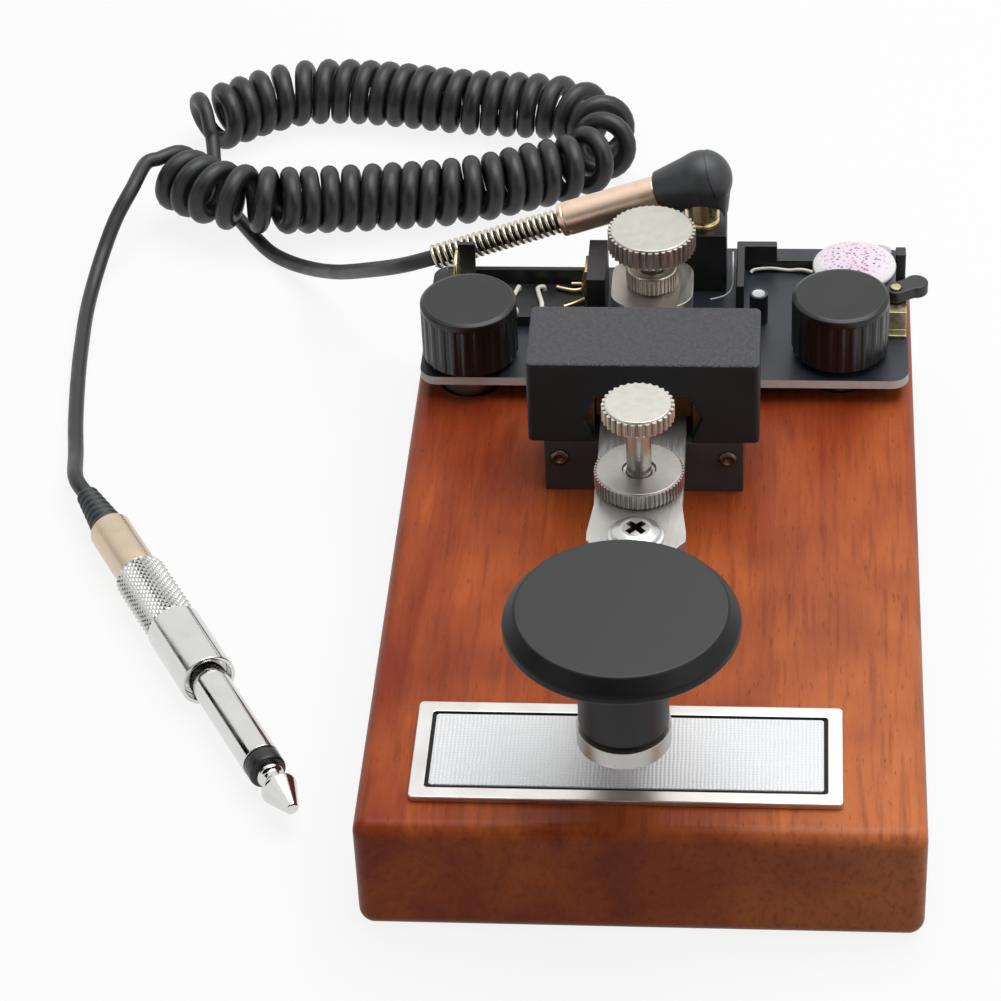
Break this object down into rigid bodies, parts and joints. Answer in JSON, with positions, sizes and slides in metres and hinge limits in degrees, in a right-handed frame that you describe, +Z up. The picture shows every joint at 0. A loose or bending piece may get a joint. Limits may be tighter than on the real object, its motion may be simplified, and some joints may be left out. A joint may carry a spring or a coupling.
{
  "type": "telegraph key",
  "caption": "Straight telegraph key on a wooden base, with a practice oscillator board at its rear and a curly lead ending in a large phone plug.",
  "frame": {"origin": "centre of the wooden base's underside", "axes": "+Z up, +Y from the finger knob towards the circuit board, +X to the right seen from the knob"},
  "size_m": [0.1565, 0.2431, 0.056],
  "materials": {
    "mahogany": "satin varnish",
    "plate_border": "polished",
    "linen_panel": "fine linen texture",
    "satin_nickel": "satin",
    "bridge_black": "black crinkle",
    "block_black": "satin black",
    "dark_screw": "blackened",
    "screw_steel": "zinc plated",
    "bronze": "machined",
    "brass": "turned",
    "spring_wire": "drawn wire",
    "blue_wire": "insulation",
    "board": "solder mask",
    "spacer_nylon": "nylon",
    "control_metal": "pressed tin",
    "black_plastic": "moulded",
    "dial_plastic": "moulded",
    "knob_black": "matt charcoal",
    "white_insulation": "insulation",
    "sounder_white": "speckled",
    "capacitor_sleeve": "sleeve",
    "thumbscrew_nickel": "knurled",
    "locknut_nickel": "knurled",
    "cord_black": "satin",
    "rose_gold": "rose gold plate",
    "pale_gold": "pale gold plate",
    "champagne": "champagne anodised",
    "plug_nickel": "polished nickel",
    "plug_knurl": "diamond knurl",
    "insulator": "moulded"
  },
  "bodies": {
    "base": {"wood_base": "mahogany", "name_plate": "plate_border", "plate_panel": "linen_panel", "pivot_block": "block_black", "bridge_cover": "bridge_black", "block_screws": "dark_screw", "axle_bushes": "bronze", "base_bolts": "screw_steel", "fixed_contact": "brass", "spring_cup": "brass", "return_spring": "spring_wire", "rear_stop": "brass", "hook_up_wires": "blue_wire", "circuit_board": "board", "board_spacers": "spacer_nylon", "board_screws": "screw_steel", "left_pot": "control_metal", "right_pot": "control_metal", "pot_nuts": "screw_steel", "battery_tray": "black_plastic", "battery_contacts": "brass", "battery_wires": "white_insulation", "phone_jack": "black_plastic", "sounder_case": "black_plastic", "sounder_cap": "sounder_white", "sounder_bracket": "black_plastic", "capacitor": "capacitor_sleeve", "switch_tab": "brass", "jack_pin": "pale_gold", "elbow_hood": "black_plastic", "elbow_barrel": "rose_gold", "strain_spring": "spring_wire", "jack_lead": "cord_black", "curly_cord": "cord_black", "plug_lead": "cord_black", "plug_boot": "cord_black", "plug_barrel": "champagne", "plug_sleeve": "plug_knurl", "plug_collar": "plug_nickel", "plug_shaft": "plug_nickel", "plug_ring": "insulator", "plug_tip": "plug_nickel"},
    "key_lever": {"lever": "satin_nickel", "finger_knob": "knob_black", "knob_bolt": "screw_steel", "contact_screw": "satin_nickel", "lever_hub": "bronze", "hub_screws": "screw_steel", "pivot_axle": "screw_steel", "spring_cap": "brass"},
    "front_screw": {"front_thumbscrew": "thumbscrew_nickel"},
    "front_nut": {"front_locknut": "locknut_nickel"},
    "rear_screw": {"rear_thumbscrew": "thumbscrew_nickel"},
    "rear_nut": {"rear_locknut": "locknut_nickel"},
    "left_dial": {"left_knob": "dial_plastic", "left_pot_shaft": "screw_steel"},
    "right_dial": {"right_knob": "dial_plastic", "right_pot_shaft": "screw_steel"},
    "switch": {"switch_lever": "black_plastic"}
  },
  "joints": [
    {"name": "key_press", "type": "hinge", "parent": "base", "child": "key_lever", "pos_m": [-0.0022, 0.01655, 0.038], "axis": [1, 0, 0], "range_deg": [0, 1], "stiffness_Nm_per_rad": 0.67, "springref_deg": -7.45, "deforming": ["return_spring"]},
    {"name": "front_screw_turn", "type": "hinge", "parent": "key_lever", "child": "front_screw", "pos_m": [-0.0022, -0.0071, 0.034], "axis": [0, 0, 1], "range_deg": [-180, 180]},
    {"name": "front_nut_turn", "type": "hinge", "parent": "key_lever", "child": "front_nut", "pos_m": [-0.0022, -0.0071, 0.034], "axis": [0, 0, 1], "range_deg": [-180, 180]},
    {"name": "rear_screw_turn", "type": "hinge", "parent": "key_lever", "child": "rear_screw", "pos_m": [-0.0022, 0.049, 0.034], "axis": [0, 0, 1], "range_deg": [-180, 180]},
    {"name": "rear_nut_turn", "type": "hinge", "parent": "key_lever", "child": "rear_nut", "pos_m": [-0.0022, 0.049, 0.034], "axis": [0, 0, 1], "range_deg": [-180, 180]},
    {"name": "left_dial_turn", "type": "hinge", "parent": "base", "child": "left_dial", "pos_m": [-0.0331, 0.0395, 0.034], "axis": [0, 0, 1], "range_deg": [-150, 150]},
    {"name": "right_dial_turn", "type": "hinge", "parent": "base", "child": "right_dial", "pos_m": [0.0299, 0.0417, 0.034], "axis": [0, 0, 1], "range_deg": [-150, 150]},
    {"name": "switch_flip", "type": "hinge", "parent": "base", "child": "switch", "pos_m": [0.0394, 0.0511, 0.034], "axis": [0, 0, 1], "range_deg": [-55, 0]}
  ]
}
